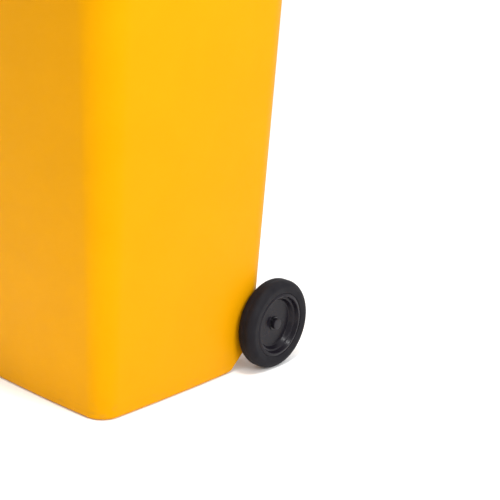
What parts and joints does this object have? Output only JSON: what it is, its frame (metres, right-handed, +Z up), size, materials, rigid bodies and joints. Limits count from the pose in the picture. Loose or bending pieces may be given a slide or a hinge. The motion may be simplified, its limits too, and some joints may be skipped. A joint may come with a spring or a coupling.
{
  "type": "two-wheeled refuse bin",
  "caption": "Tall tapered plastic refuse bin with a hinged domed lid, a comb-lift rim, rear grips and solid-tyred wheels on an axle.",
  "frame": {"origin": "on the ground, at the middle of the overall width and depth", "axes": "+Z up, +Y to the rear (the side with the wheels and the hinge), +X to the right seen from the front"},
  "size_m": [0.58, 0.732, 1.07],
  "materials": {
    "body_plastic": "satin, fine-grained polyethylene",
    "lid_plastic": "satin, fine-grained polyethylene",
    "tyre": "matt rubber",
    "rubber": "matt rubber",
    "wheel_plastic": "semi-matt",
    "black_plastic": "semi-matt",
    "grey_plastic": "semi-matt",
    "zinc_steel": "zinc plated",
    "black_steel": "blackened spring steel"
  },
  "bodies": {
    "body": {"bin_body": "body_plastic", "axle": "zinc_steel", "transponder_plug": "grey_plastic", "hinge_pin_left": "black_plastic", "spacer_sleeve_left": "black_plastic", "retaining_washer_left": "black_steel", "axle_cap_left": "black_plastic", "hinge_pin_right": "black_plastic", "spacer_sleeve_right": "black_plastic", "retaining_washer_right": "black_steel", "axle_cap_right": "black_plastic"},
    "lid": {"lid": "lid_plastic", "lid_buffer_front_left": "rubber", "lid_buffer_front_right": "rubber", "lid_buffer_rear_left": "rubber", "lid_buffer_rear_right": "rubber"},
    "wheel_left": {"tyre_left": "tyre", "wheel_disc_left": "wheel_plastic"},
    "wheel_right": {"tyre_right": "tyre", "wheel_disc_right": "wheel_plastic"}
  },
  "joints": [
    {"name": "lid_hinge", "type": "hinge", "parent": "body", "child": "lid", "pos_m": [0, 0.346, 0.972], "axis": [-1, 0, 0], "range_deg": [0, 270]},
    {"name": "wheel_left_spin", "type": "hinge", "parent": "body", "child": "wheel_left", "pos_m": [-0.248, 0.2155, 0.1], "axis": [1, 0, 0], "continuous": true},
    {"name": "wheel_right_spin", "type": "hinge", "parent": "body", "child": "wheel_right", "pos_m": [0.248, 0.2155, 0.1], "axis": [1, 0, 0], "continuous": true}
  ]
}
